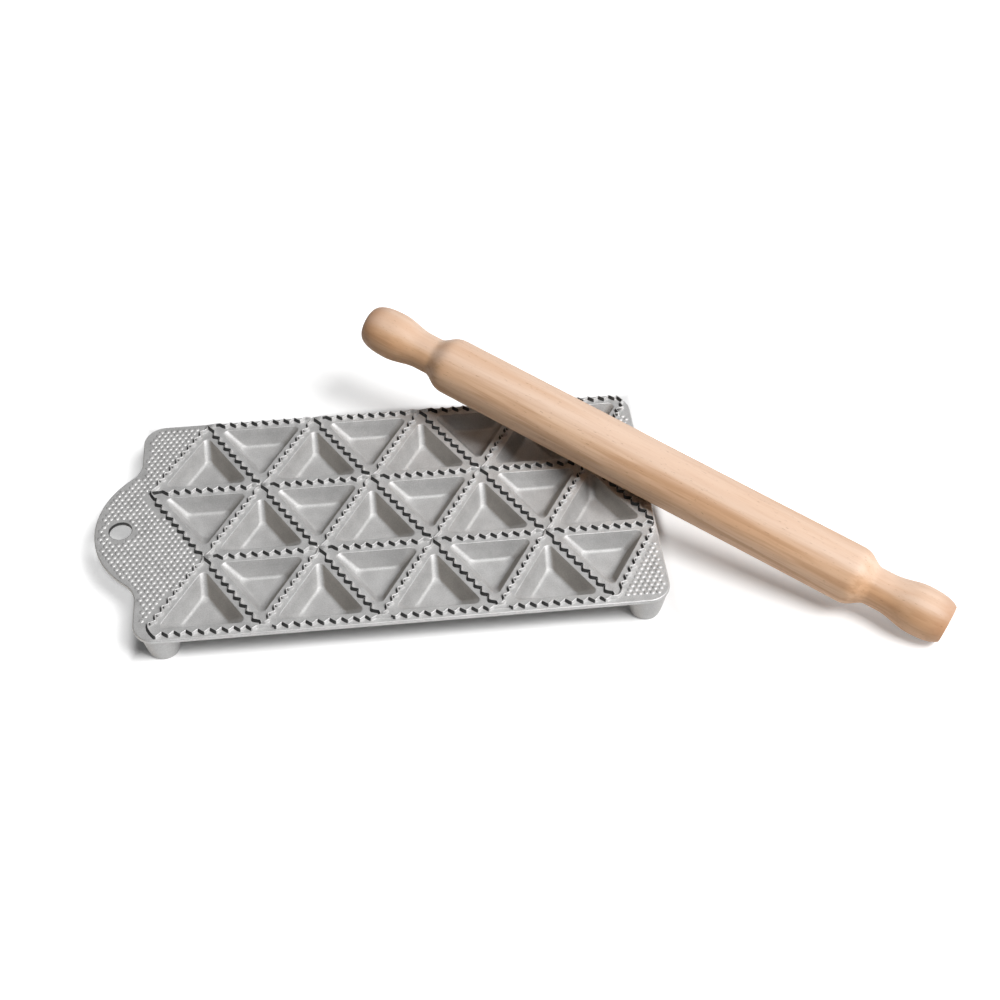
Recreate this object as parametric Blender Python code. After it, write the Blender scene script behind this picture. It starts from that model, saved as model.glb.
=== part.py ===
# A cast ravioli tray with 24 triangular pockets, and the turned wooden rolling pin that leans on it.
# Metres, +Z up. Lengths along the tray run in X and its rows of pockets are stacked in Y.
import math

import bpy
import bmesh
from mathutils import Vector

# Lattice of the pockets: triangles that share their sides, point up and point down in turn.
pocket_base = 0.055
row_height = 0.045
row_count = 3
pockets_per_row = 8

# Plate: flat casting with rounded corners and a half-round grip at its left end.
plate_thickness = 0.003
plate_top = 0.019
left_border = 0.0047
right_border = -0.0003
front_border = 0.0035
back_border = 0.0022
corner_radius = 0.011
edge_chamfer = 0.0008
grip_radius = 0.045
grip_centre_x = 0.019
grip_fillet = 0.014
hole_diameter = 0.0109
hole_centre_x = -0.0134

# Pockets: sloping walls down to a flat floor, with a cup of even wall under each one.
rib_half_width = 0.0036
pocket_depth = 0.008
wall_run = 0.005
floor_fillet = 0.0009
pocket_corner = 0.0016
floor_corner = 0.0011
cup_wall = 0.002

# Cutting ridges: zigzag fins along the middle of every rib, which run into each other at the nodes.
ridge_height = 0.0015
ridge_base_width = 0.0013
ridge_top_width = 0.0007
ridge_sway = 0.0012
tooth_pitch = 0.0055
ridge_edge_gap = 0.0011
front_node_offset = 0.0004
# How far past a node the first turn of a rib lies, and how close to the next node the last one may come.
lead_across = 0.0065
lead_rising = 0.0066
lead_rising_front = 0.0045
lead_falling = 0.0057
last_turn_clear = 0.0025

# Feet: four tapered studs under the corners of the plate.
foot_bottom_radius = 0.0072
foot_ledge = 0.0003
foot_edge = 0.0006

# Rolling pin: one turned piece, a straight barrel with a waisted handle at each end.
pin_length = 0.3247
barrel_radius = 0.01455
handle_length = 0.0535
shoulder_length = 0.0141
neck_radius = 0.00963
neck_from_end = 0.033
knob_radius = 0.01232
knob_from_end = 0.0154
end_face_radius = 0.0072
nose_fullness = 2.6
shoulder_fullness = 0.8

# Pose of the pin: the barrel leans on the plate's right edge, one knob stands on the table.
pin_heading = math.radians(-36.07)
pin_crossing_y = 0.0674
pin_past_edge = 0.1606
seat_gap = 0.0003

# Smallest parts of the round shapes, and the steepest crease that is still shaded smooth.
corner_steps = 3
outline_steps = 7
turned_steps = 40
nose_steps = 6
swell_steps = 7
overlap = 0.001
smooth_crease = math.radians(35)
settling_rounds = 40

lattice_length = pocket_base * pockets_per_row / 2
lattice_depth = row_height * row_count
plate_left = -left_border
plate_right = lattice_length + pocket_base / 2 + right_border
plate_front = -front_border
plate_back = lattice_depth + back_border
plate_middle = (plate_front + plate_back) / 2
plate_under = plate_top - plate_thickness
wall_slope = wall_run / pocket_depth


def clear_scene():
    for item in list(bpy.data.objects):
        bpy.data.objects.remove(item, do_unlink=True)


def finish(name, colour, roughness, metallic):
    material = bpy.data.materials.new(name)
    material.use_nodes = True
    shader = material.node_tree.nodes["Principled BSDF"]
    shader.inputs["Base Color"].default_value = (*colour, 1.0)
    shader.inputs["Roughness"].default_value = roughness
    shader.inputs["Metallic"].default_value = metallic
    return material


def add_object(name, shape, material=None):
    mesh = bpy.data.meshes.new(name)
    bmesh.ops.recalc_face_normals(shape, faces=shape.faces)
    shape.to_mesh(mesh)
    shape.free()
    piece = bpy.data.objects.new(name, mesh)
    bpy.context.scene.collection.objects.link(piece)
    if material:
        mesh.materials.append(material)
    return piece


def arc(centre, radius, start, end, steps):
    """Points from one angle to the other, both in degrees."""
    points = []
    for step in range(steps + 1):
        angle = math.radians(start + (end - start) * step / steps)
        points.append((centre[0] + radius * math.cos(angle), centre[1] + radius * math.sin(angle)))
    return points


def stack_rings(shape, rings):
    """Join closed rings of equal count, lowest first, into one solid with flat caps."""
    rows = [[shape.verts.new(point) for point in ring] for ring in rings]
    count = len(rows[0])
    for lower, upper in zip(rows, rows[1:]):
        for index in range(count):
            after = (index + 1) % count
            shape.faces.new((lower[index], lower[after], upper[after], upper[index]))
    shape.faces.new(list(reversed(rows[0])))
    shape.faces.new(rows[-1])


def at_height(points, height):
    return [(x, y, height) for x, y in points]


def plate_outline(inset):
    """Outer edge of the plate, counter-clockwise from its front left corner."""
    corner = corner_radius - inset
    left, right = plate_left + corner_radius, plate_right - corner_radius
    front, back = plate_front + corner_radius, plate_back - corner_radius
    points = arc((left, front), corner, 180, 270, outline_steps)
    points += arc((right, front), corner, 270, 360, outline_steps)
    points += arc((right, back), corner, 0, 90, outline_steps)
    points += arc((left, back), corner, 90, 180, outline_steps)
    # The grip is a wide arc that hollow fillets, on either side, lead back into the left edge.
    reach = grip_centre_x - plate_left + grip_fillet
    rise = math.sqrt((grip_radius + grip_fillet) ** 2 - reach ** 2)
    turn = math.degrees(math.atan2(rise, reach))
    fillet_x = plate_left - grip_fillet
    hollow = grip_fillet + inset
    points += arc((fillet_x, plate_middle + rise), hollow, 0, -turn, outline_steps)
    points += arc((grip_centre_x, plate_middle), grip_radius - inset, 180 - turn, 180 + turn,
                  3 * outline_steps)[1:-1]
    points += arc((fillet_x, plate_middle - rise), hollow, turn, 0, outline_steps)
    return points


def lattice_triangles():
    """Corners of every triangle of the lattice, each counter-clockwise."""
    triangles = []
    for row in range(row_count):
        low, high = row * row_height, (row + 1) * row_height
        for place in range(pockets_per_row):
            left = place * pocket_base / 2
            middle, right = left + pocket_base / 2, left + pocket_base
            points_up = (place + row) % 2 == 0
            if points_up:
                triangles.append([Vector((left, low)), Vector((right, low)), Vector((middle, high))])
            else:
                triangles.append([Vector((left, high)), Vector((middle, low)), Vector((right, high))])
    return triangles


def rounded_triangle(corners, inset, radius):
    """The triangle drawn in by an even inset, with round corners."""
    sides = [(corners[(index + 1) % 3] - corners[index]) for index in range(3)]
    lengths = [side.length for side in sides]
    around = sum(lengths)
    centre = sum((corners[index] * lengths[(index + 1) % 3] for index in range(3)), Vector((0, 0))) / around
    inner_radius = abs(sides[0].cross(sides[1])) / around
    points = []
    for index, corner in enumerate(corners):
        before = sides[index - 1]
        start = math.degrees(math.atan2(-before.x, before.y))
        turn = math.degrees(math.atan2(before.cross(sides[index]), before.dot(sides[index])))
        middle = centre + (corner - centre) * (1 - (inset + radius) / inner_radius)
        points += arc(middle, radius, start, start + turn, corner_steps)
    return points


def make_slab(material):
    shape = bmesh.new()
    stack_rings(shape, [at_height(plate_outline(0), plate_under),
                        at_height(plate_outline(0), plate_top - edge_chamfer),
                        at_height(plate_outline(edge_chamfer), plate_top)])
    return add_object("ravioli_tray", shape, material)


def make_cups():
    """Solid undersides of the pockets, still to be hollowed."""
    shape = bmesh.new()
    side_step = cup_wall * math.sqrt(1 + wall_slope ** 2)
    top = plate_under + overlap
    bottom = plate_top - pocket_depth - cup_wall
    for corners in lattice_triangles():
        wide = rib_half_width + wall_slope * (plate_top - top) - side_step
        narrow = rib_half_width + wall_slope * (plate_top - bottom) - side_step
        stack_rings(shape, [at_height(rounded_triangle(corners, narrow, pocket_corner), bottom),
                            at_height(rounded_triangle(corners, wide, pocket_corner), top)])
    return add_object("cups", shape)


def make_feet():
    shape = bmesh.new()
    inset = corner_radius
    top_radius = corner_radius - foot_ledge
    stations = [(0, foot_bottom_radius - foot_edge), (foot_edge, foot_bottom_radius),
                (plate_under, top_radius), (plate_under + overlap, top_radius)]
    for x in (plate_left + inset, plate_right - inset):
        for y in (plate_front + inset, plate_back - inset):
            rings = [at_height(arc((x, y), radius, 0, 360, 4 * outline_steps)[:-1], height)
                     for height, radius in stations]
            stack_rings(shape, rings)
    return add_object("feet", shape)


def make_hollows():
    """Cutters for the pockets and the hanging hole."""
    shape = bmesh.new()
    floor = plate_top - pocket_depth
    above = plate_top + ridge_height + overlap
    wall_foot = rib_half_width + wall_slope * (pocket_depth - floor_fillet)
    floor_edge = wall_foot + floor_fillet * (1 + wall_slope) / 2
    for corners in lattice_triangles():
        opening = rounded_triangle(corners, rib_half_width, pocket_corner)
        stack_rings(shape, [at_height(rounded_triangle(corners, floor_edge, floor_corner), floor),
                            at_height(rounded_triangle(corners, wall_foot, floor_corner),
                                      floor + floor_fillet),
                            at_height(opening, plate_top),
                            at_height(opening, above)])
    hole = arc((hole_centre_x, plate_middle), hole_diameter / 2, 0, 360, 4 * outline_steps)[:-1]
    stack_rings(shape, [at_height(hole, plate_under - overlap), at_height(hole, above)])
    return add_object("hollows", shape)


def lattice_point(place, row):
    return Vector((place * pocket_base, row * row_height))


def node(place, row):
    """Where ribs meet. The fins of the front row meet a little behind the lattice's edge."""
    return lattice_point(place, row) + Vector((0, 0 if row else front_node_offset))


def keep_on_plate(point):
    """Pull a point of a fin in until it lies well inside the plate's rounded rectangle."""
    middle = Vector(((plate_left + plate_right) / 2, plate_middle))
    straight_x = (plate_right - plate_left) / 2 - corner_radius
    straight_y = (plate_back - plate_front) / 2 - corner_radius
    from_middle = point - middle
    inner = Vector((max(-straight_x, min(straight_x, from_middle.x)),
                    max(-straight_y, min(straight_y, from_middle.y))))
    out = from_middle - inner
    limit = corner_radius - ridge_edge_gap
    if out.length > limit:
        out = out.normalized() * limit
    return middle + inner + out


def turns(start, end, lead, side):
    """Turning points of the zigzag along one rib, on from side to side every half tooth."""
    first = lattice_point(*start)
    run = lattice_point(*end) - first
    along = run.normalized()
    across = Vector((-along.y, along.x))
    count = int((run.length - lead - last_turn_clear) / (tooth_pitch / 2)) + 1
    points = []
    for step in range(count):
        sway = side * ridge_sway * (1 if step % 2 == 0 else -1)
        points.append(first + along * (lead + step * tooth_pitch / 2) + across * sway)
    return points


def across(place, row):
    return turns((place, row), (place + 1, row), lead_across, 1 if row else -1)


def rising(place, row):
    lead = lead_rising_front if row == 0 else lead_rising
    return turns((place, row), (place + 0.5, row + 1), lead, -1)


def falling(place, row):
    return turns((place, row), (place + 0.5, row - 1), lead_falling, 1)


def line_of_ribs(rib, place, row, step_x, step_y, count):
    """One fin that runs straight through several nodes, from the first one to the last."""
    path = [node(place, row)]
    for number in range(count):
        path += rib(place + step_x * number, row + step_y * number)
        path.append(node(place + step_x * (number + 1), row + step_y * (number + 1)))
    return path


def inner_fins():
    """Paths of the fins between the pockets, in three sets whose fins don't touch their own kind."""
    width = pockets_per_row // 2
    level = [line_of_ribs(across, row % 2 / 2, row, 1, 0, width) for row in range(1, row_count)]
    climbing = [line_of_ribs(rising, place, 0, 0.5, 1, row_count) for place in range(1, width - 1)]
    climbing.append(line_of_ribs(rising, 0.5, 1, 0.5, 1, row_count - 1))
    climbing.append(line_of_ribs(rising, width - 1, 0, 0.5, 1, row_count - 1))
    dropping = [line_of_ribs(falling, place + 0.5, row_count, 0.5, -1, row_count)
                for place in range(width - 1)]
    dropping.append(line_of_ribs(falling, 0.5, 1, 0.5, -1, 1))
    dropping.append(line_of_ribs(falling, width - 0.5, row_count, 0.5, -1, 1))
    return [level, climbing, dropping]


def outer_fin():
    """Path of the fin that goes right round the lattice, counter-clockwise from its front left corner."""
    width = pockets_per_row // 2
    path = line_of_ribs(across, 0, 0, 1, 0, width)[1:]
    path += rising(width, 0)
    path.append(node(width + 0.5, 1))
    path += falling(width, 2)[::-1]
    path += line_of_ribs(rising, width, 2, 0.5, 1, 1)
    path += line_of_ribs(across, 0.5, row_count, 1, 0, width)[-2::-1]
    path += line_of_ribs(rising, 0, 2, 0.5, 1, 1)[-2::-1]
    path += falling(0, 2)
    path.append(node(0.5, 1))
    path += rising(0, 0)[::-1]
    return path


def ribbon(path, width, closed):
    """Both edges of a strip of even width that follows the path, mitred at its turns."""
    left, right = [], []
    legs = [(after - before).normalized() for before, after in zip(path, path[1:] + path[:1])]
    for index, point in enumerate(path):
        one = legs[index - 1] if index or closed else legs[0]
        other = legs[index] if index + 1 < len(path) or closed else one
        normal = Vector((-(one.y + other.y), one.x + other.x)).normalized()
        reach = width / 2 / normal.dot(Vector((-one.y, one.x)))
        left.append(tuple(point + normal * reach))
        right.append(tuple(point - normal * reach))
    return left, right


def add_fin(shape, path, closed=False):
    """A fin with sloping sides, whose section is carried along the path."""
    path = [keep_on_plate(point) for point in path]
    foot_width = ridge_base_width + (ridge_base_width - ridge_top_width) * overlap / ridge_height
    foot_left, foot_right = ribbon(path, foot_width, closed)
    top_left, top_right = ribbon(path, ridge_top_width, closed)
    foot, top = plate_top - overlap, plate_top + ridge_height
    edges = zip(at_height(foot_left, foot), at_height(foot_right, foot),
                at_height(top_right, top), at_height(top_left, top))
    sections = [[shape.verts.new(corner) for corner in corners] for corners in edges]
    followers = sections[1:] + sections[:1] if closed else sections[1:]
    for one, other in zip(sections, followers):
        for index in range(4):
            after = (index + 1) % 4
            shape.faces.new((one[index], one[after], other[after], other[index]))
    if not closed:
        shape.faces.new(sections[0][::-1])
        shape.faces.new(sections[-1])


def make_ridges():
    """The fins as four solids, each free of overlaps, which are joined to the plate one after the other."""
    solids = []
    for number, fins in enumerate(inner_fins(), 1):
        shape = bmesh.new()
        for path in fins:
            add_fin(shape, path)
        solids.append(add_object(f"ridges_{number}", shape))
    shape = bmesh.new()
    add_fin(shape, outer_fin(), closed=True)
    solids.append(add_object("ridge_around", shape))
    return solids


def combine(piece, tool, operation):
    change = piece.modifiers.new(tool.name, "BOOLEAN")
    change.solver = "EXACT"
    change.operation = operation
    change.object = tool
    tool.hide_render = True
    tool.display_type = "WIRE"
    tool.parent = piece


def make_tray():
    aluminium = finish("cast_aluminium", (0.52, 0.51, 0.50), 0.42, 0.9)
    tray = make_slab(aluminium)
    combine(tray, make_cups(), "UNION")
    combine(tray, make_feet(), "UNION")
    combine(tray, make_hollows(), "DIFFERENCE")
    for fins in make_ridges():
        combine(tray, fins, "UNION")
    return tray


def ease(share):
    """Smooth step from 0 to 1."""
    return (1 - math.cos(math.pi * share)) / 2


def handle_radius(distance):
    """Radius of a handle at a distance from its end: round nose, swell, waist, shoulder."""
    shoulder = handle_length - shoulder_length
    if distance < knob_from_end:
        share = 1 - distance / knob_from_end
        return end_face_radius + (knob_radius - end_face_radius) * math.sqrt(1 - share ** nose_fullness)
    if distance < neck_from_end:
        share = (distance - knob_from_end) / (neck_from_end - knob_from_end)
        return knob_radius + (neck_radius - knob_radius) * ease(share)
    if distance < shoulder:
        return neck_radius
    share = min(1, (distance - shoulder) / shoulder_length)
    swell = math.sin(math.pi / 2 * ease(share) ** shoulder_fullness)
    return neck_radius + (barrel_radius - neck_radius) * swell


def handle_stations():
    """Distances from the pin's end at which its handle is given a ring: close together on the nose."""
    shoulder = handle_length - shoulder_length
    stations = [knob_from_end * (1 - math.cos(math.pi / 2 * step / nose_steps)) for step in range(nose_steps)]
    waist = neck_from_end - knob_from_end
    stations += [knob_from_end + waist * step / swell_steps for step in range(swell_steps)]
    stations += [neck_from_end, shoulder]
    stations += [shoulder + shoulder_length * step / swell_steps for step in range(1, swell_steps + 1)]
    return stations


def pin_profile():
    """Half section of the pin from its top end face down to its lower one, as radius and height."""
    half = [(handle_radius(distance), pin_length / 2 - distance) for distance in handle_stations()]
    return [(0, pin_length / 2)] + half + [(r, -z) for r, z in reversed(half)] + [(0, -pin_length / 2)]


def make_pin():
    shape = bmesh.new()
    points = [shape.verts.new((radius, 0, height)) for radius, height in pin_profile()]
    for one, other in zip(points, points[1:]):
        shape.edges.new((one, other))
    mesh = bpy.data.meshes.new("rolling_pin")
    shape.to_mesh(mesh)
    shape.free()
    mesh.materials.append(finish("beech", (0.78, 0.56, 0.38), 0.6, 0.0))
    pin = bpy.data.objects.new("rolling_pin", mesh)
    bpy.context.scene.collection.objects.link(pin)
    turn = pin.modifiers.new("turned", "SCREW")
    turn.steps = turned_steps
    turn.render_steps = turned_steps
    turn.use_merge_vertices = True
    turn.merge_threshold = 0.00001
    return pin


def lean_pin(pin):
    """Lay the pin over the right edge of the plate, with its far knob down on the table."""
    edge_x = plate_right - edge_chamfer
    slope = 0.0
    for _ in range(settling_rounds):
        along = Vector((math.cos(slope) * math.cos(pin_heading), math.cos(slope) * math.sin(pin_heading),
                        -math.sin(slope)))
        upright = along.x / math.hypot(along.x, along.z)
        crossing = Vector((edge_x, pin_crossing_y, plate_top + (barrel_radius + seat_gap) / upright))
        # The handle's ring that meets the table first is the one that allows the least slope.
        drops = [(crossing.z - handle_radius(distance) * math.cos(slope)) / (pin_past_edge - distance)
                 for distance in handle_stations()]
        slope = math.asin(min(drops))
    pin.rotation_mode = "QUATERNION"
    pin.rotation_quaternion = (-along).to_track_quat("Z", "Y")
    pin.location = crossing + along * (pin_past_edge - pin_length / 2)


def centre_on_ground(pieces):
    """Shift everything so that the whole set stands with the middle of its outer box at the origin."""
    bpy.context.view_layer.update()
    graph = bpy.context.evaluated_depsgraph_get()
    corners = []
    for piece in pieces:
        shown = piece.evaluated_get(graph)
        corners += [shown.matrix_world @ vertex.co for vertex in shown.data.vertices]
    for axis in (0, 1):
        values = [corner[axis] for corner in corners]
        middle = (min(values) + max(values)) / 2
        for piece in pieces:
            piece.location[axis] -= middle


def main():
    clear_scene()
    tray = make_tray()
    pin = make_pin()
    lean_pin(pin)
    centre_on_ground([tray, pin])
    for piece in (tray, pin):
        piece.data.shade_smooth()
        piece.data.set_sharp_from_angle(angle=smooth_crease)


main()
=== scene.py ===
import math

import bmesh
import bpy
import numpy as np
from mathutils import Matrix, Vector
from mathutils.geometry import delaunay_2d_cdt


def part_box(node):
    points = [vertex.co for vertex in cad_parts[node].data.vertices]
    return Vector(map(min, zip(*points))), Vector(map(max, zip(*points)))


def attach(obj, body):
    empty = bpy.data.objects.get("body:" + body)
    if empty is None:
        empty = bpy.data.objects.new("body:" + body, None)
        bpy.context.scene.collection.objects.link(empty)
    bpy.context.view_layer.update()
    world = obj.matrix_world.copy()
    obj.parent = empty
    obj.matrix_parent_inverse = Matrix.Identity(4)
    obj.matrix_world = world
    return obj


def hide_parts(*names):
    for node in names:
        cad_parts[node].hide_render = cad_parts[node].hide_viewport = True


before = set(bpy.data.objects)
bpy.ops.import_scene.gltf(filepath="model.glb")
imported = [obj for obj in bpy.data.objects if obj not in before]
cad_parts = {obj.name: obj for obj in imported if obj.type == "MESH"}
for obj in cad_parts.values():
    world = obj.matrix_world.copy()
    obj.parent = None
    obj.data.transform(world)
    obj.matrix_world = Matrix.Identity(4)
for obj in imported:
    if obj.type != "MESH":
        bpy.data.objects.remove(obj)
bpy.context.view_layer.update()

# A cast ravioli tray with 24 three-cornered pockets, and the beech rolling pin that leans on it.
# Metres and degrees. Plans are worked out from the front left corner of the pocket lattice.


class Value:
    # one number in a shader: the operators add Math nodes, and numbers alone stay numbers
    def __init__(self, shader, socket):
        self.shader, self.socket = shader, socket

    def maths(self, operation, *terms):
        return self.shader.node("ShaderNodeMath", {"operation": operation}, dict(enumerate(terms)))

    def __add__(self, other):
        return self.maths("ADD", self, other)

    def __sub__(self, other):
        return self.maths("SUBTRACT", self, other)

    def __rsub__(self, other):
        return self.maths("SUBTRACT", other, self)

    def __mul__(self, other):
        return self.maths("MULTIPLY", self, other)

    def least(self, other):
        return self.maths("MINIMUM", self, other)

    def most(self, other):
        return self.maths("MAXIMUM", self, other)

    def between(self, low, high):
        # smooth step: 0 below low, 1 above high
        settings = {"interpolation_type": "SMOOTHSTEP"}
        return self.shader.node("ShaderNodeMapRange", settings, {"Value": self, 1: low, 2: high})

    __radd__ = __add__
    __rmul__ = __mul__


class Shader:
    # the node tree of a material or of the world, with the nodes that its look is made of
    def __init__(self, owner):
        owner.use_nodes = True
        self.owner, self.tree = owner, owner.node_tree
        self.surface = next(made for made in self.tree.nodes if made.type in ("BSDF_PRINCIPLED", "BACKGROUND"))

    def node(self, kind, settings=None, inputs=None, output=0):
        made = self.tree.nodes.new(kind)
        for key, setting in (settings or {}).items():
            setattr(made, key, setting)
        for key, value in (inputs or {}).items():
            self.feed(made.inputs[key], value)
        return Value(self, made.outputs[output])

    def feed(self, socket, value):
        if isinstance(value, Value):
            self.tree.links.new(value.socket, socket)
        else:
            socket.default_value = value

    def set(self, **values):
        for key, value in values.items():
            self.feed(self.surface.inputs[key.replace("_", " ")], value)

    def place(self, move=(0, 0, 0), turn=(0, 0, 0), scale=(1, 1, 1)):
        # Object coordinates, moved, turned and stretched as a texture
        at = self.node("ShaderNodeTexCoord", output="Object")
        shifted = self.node("ShaderNodeMapping", {"vector_type": "TEXTURE"},
                            {"Vector": at, "Location": move, "Rotation": turn})
        return self.node("ShaderNodeMapping", {}, {"Vector": shifted, "Scale": scale})

    def noise(self, vector, scale, detail=2.0, roughness=0.5, distortion=0.0):
        return self.node("ShaderNodeTexNoise", {}, {"Vector": vector, "Scale": scale, "Detail": detail,
                                                    "Roughness": roughness, "Distortion": distortion})

    def split(self, vector):
        made = self.node("ShaderNodeSeparateXYZ", {}, {"Vector": vector})
        return [Value(self, made.socket.node.outputs[axis]) for axis in range(3)]

    def facing(self, direction):
        # how squarely the surface faces a direction, from -1 to 1
        normal = self.node("ShaderNodeTexCoord", output="Normal")
        return self.node("ShaderNodeVectorMath", {"operation": "DOT_PRODUCT"}, {0: normal, 1: direction},
                         output="Value")

    def distance(self, vector, place):
        return self.node("ShaderNodeVectorMath", {"operation": "DISTANCE"}, {0: vector, 1: tuple(place)},
                         output="Value")

    def blend(self, share, one, other):
        # colour that goes from one to other as share goes from 0 to 1
        return self.node("ShaderNodeMix", {"data_type": "RGBA"}, {"Factor": share, 6: one, 7: other}, output=2)

    def tint(self, share, base, shadeColour):
        # base multiplied by a shade colour, by a share of 0 to 1; every use paints shade
        return self.node("ShaderNodeMix", {"data_type": "RGBA", "blend_type": "MULTIPLY"},
                         {"Factor": share, 6: base, 7: shadeColour}, output=2)

    def bump(self, height, distance, strength):
        self.set(Normal=self.node("ShaderNodeBump", {}, {"Height": height, "Distance": distance,
                                                         "Strength": strength}))


def colour(red, green, blue):
    # a colour as it is read off a screen, 0 to 255, as the linear values that the shader takes
    parts = np.array([red, green, blue]) / 255
    linear = np.where(parts <= 0.04045, parts / 12.92, ((parts + 0.055) / 1.055) ** 2.4)
    return (*linear.tolist(), 1.0)


# Surfaces: each is an array of points, rows by columns, and the faces that link them

guard = 0.00006     # narrow flat strip beside each rounding, which keeps the flats' shading flat


def arcOf(centre, radii, start, end, steps):
    # one arc for each radius: centre + radius * (cos a, sin a), with a from start to end
    angles = np.radians(np.linspace(start, end, steps + 1))
    unit = np.stack([np.cos(angles), np.sin(angles)], -1)
    return np.asarray(centre) + np.atleast_1d(radii)[:, None, None] * unit


def closedLoop(arcs):
    # arcs joined into one closed loop, with a guard point where an arc meets a straight side
    parts = []
    for index, arc in enumerate(arcs):
        parts.append(arc)
        following = arcs[(index + 1) % len(arcs)]
        gap = following[:, :1] - arc[:, -1:]
        length = np.linalg.norm(gap, axis=-1, keepdims=True)
        if length.min() > 4 * guard:
            step = gap / length * guard
            parts += [arc[:, -1:] + step, following[:, :1] - step]
        elif length.max() < guard:
            parts[-1] = arc[:, :-1]
    return np.concatenate(parts, 1)


def raised(plan, heights):
    # a plan of rows x columns x 2 with one height for each row
    heights = np.broadcast_to(np.asarray(heights, float)[:, None, None], plan.shape[:2] + (1,))
    return np.concatenate([plan, heights], -1)


def quarterRound(radius, steps=5):
    # inset and drop of a rounded edge, from the flat to the side: radius * (1 - sin a, 1 - cos a)
    angles = np.linspace(0, math.pi / 2, steps + 1)
    return radius * (1 - np.sin(angles)), radius * (1 - np.cos(angles))


class Surface:
    # gathers grids and flats into one mesh, welds them and turns the faces outwards
    def __init__(self):
        self.points, self.faces, self.count = [], [], 0

    def add(self, points, faces):
        self.points.append(points.reshape(-1, 3))
        self.faces += (faces + self.count).tolist()
        self.count += len(self.points[-1])

    def grid(self, points, wrapRows=False, wrapColumns=True):
        rows, columns = points.shape[:2]
        row = np.arange(rows if wrapRows else rows - 1)[:, None]
        column = np.arange(columns if wrapColumns else columns - 1)[None, :]
        nextRow, nextColumn = (row + 1) % rows, (column + 1) % columns
        faces = np.stack([row * columns + column, row * columns + nextColumn,
                          nextRow * columns + nextColumn, nextRow * columns + column], -1)
        self.add(points, faces.reshape(-1, 4))

    def cap(self, ring):
        # one flat face inside a ring
        self.add(ring, np.arange(len(ring))[None, :])

    def sheet(self, loops, height, inside):
        # flat between loops: triangles whose middle passes the inside test
        plan = np.concatenate(loops)
        edges, first = [], 0
        for loop in loops:
            index = np.arange(len(loop))
            edges += np.stack([first + index, first + (index + 1) % len(loop)], -1).tolist()
            first += len(loop)
        corners, _, faces, *_ = delaunay_2d_cdt([Vector(p) for p in plan], edges, [], 0, 1e-9)
        corners, faces = np.array(corners), np.array(faces)
        kept = faces[inside(corners[faces].mean(1))]
        self.add(raised(corners[None], [height]), kept)

    def piece(self, name, material, body):
        mesh = bpy.data.meshes.new(name)
        mesh.from_pydata(np.concatenate(self.points).tolist(), [], self.faces)
        shape = bmesh.new()
        shape.from_mesh(mesh)
        bmesh.ops.remove_doubles(shape, verts=shape.verts, dist=2e-7)
        bmesh.ops.recalc_face_normals(shape, faces=shape.faces)
        shape.to_mesh(mesh)
        shape.free()
        mesh.shade_smooth()
        mesh.materials.append(material)
        made = bpy.data.objects.new(name, mesh)
        bpy.context.scene.collection.objects.link(made)
        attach(made, body)
        print(f"{name}: {len(mesh.vertices)} points, {sum(len(f.vertices) - 2 for f in mesh.polygons)} triangles")
        return made


def insideLoop(loop, points):
    # even-odd rule: how many of the loop's sides does a line towards +x cross
    a, b = loop[None], np.roll(loop, -1, 0)[None]
    x, y = points[:, None, 0], points[:, None, 1]
    spans = (a[..., 1] > y) != (b[..., 1] > y)
    slope = (b[..., 0] - a[..., 0]) / np.where(spans, b[..., 1] - a[..., 1], 1)
    return (spans & (x < a[..., 0] + slope * (y - a[..., 1]))).sum(1) % 2 == 1


def distanceTo(lines, points):
    # shortest distance from each point to a set of straight lines, given by both ends
    a, b = lines[None, :, 0], lines[None, :, 1]
    run = b - a
    share = np.clip(((points[:, None] - a) * run).sum(-1) / (run ** 2).sum(-1), 0, 1)
    return np.linalg.norm(points[:, None] - a - share[..., None] * run, axis=-1).min(1)


# The casting: plate, pockets, cups below them, feet

casting = {
    "pocketBase": 0.055, "rowHeight": 0.045, "rows": 3, "pocketsPerRow": 8,
    "thickness": 0.0022, "leftBorder": 0.0047, "rightBorder": -0.0003, "frontBorder": 0.0035,
    "backBorder": 0.0022, "cornerRadius": 0.011, "gripRadius": 0.04494, "gripCentre": 0.019,
    "gripFillet": 0.014, "holeDiameter": 0.0109, "holeCentre": -0.0134,
    "ribHalfWidth": 0.0036, "pocketDepth": 0.008, "wallRun": 0.005, "cupWall": 0.002,
    "topEdge": 0.0007, "lowerEdge": 0.0005, "pocketEdge": 0.00045, "holeEdge": 0.0004,
    "cornerAtTop": 0.0024, "cornerAtFloor": 0.0026, "floorFillet": 0.0024, "cupEdge": 0.0009,
    "ridgeHeight": 0.0015,
    "footRadius": 0.0072, "footTop": 0.0102, "footEdge": 0.0007, "footInLeft": 0.0122, "footInRight": 0.0106,
    "footCurve": 0.82, "footInCupWall": 0.0008,
    # how the foot closes inside the plate: wider than its top, above the plate's underside
    "footInPlate": [(0.00004, 0.0006), (-0.0006, 0.0014)],
    "cornerSteps": 8, "outlineSteps": 12, "holeSides": 48, "footSides": 72, "footRows": 28, "footTries": 99,
}

latticeLength = casting["pocketBase"] * casting["pocketsPerRow"] / 2
latticeDepth = casting["rowHeight"] * casting["rows"]
plateLeft, plateFront = -casting["leftBorder"], -casting["frontBorder"]
plateRight = latticeLength + casting["pocketBase"] / 2 + casting["rightBorder"]
plateBack = latticeDepth + casting["backBorder"]
plateMiddle = (plateFront + plateBack) / 2
trayLow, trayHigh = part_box("ravioli_tray")
home = np.array([trayHigh.x - plateRight, trayLow.y - plateFront, 0])   # the lattice corner in the frame
plateTop = trayHigh.z - casting["ridgeHeight"]
plateUnder = plateTop - casting["thickness"]


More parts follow.
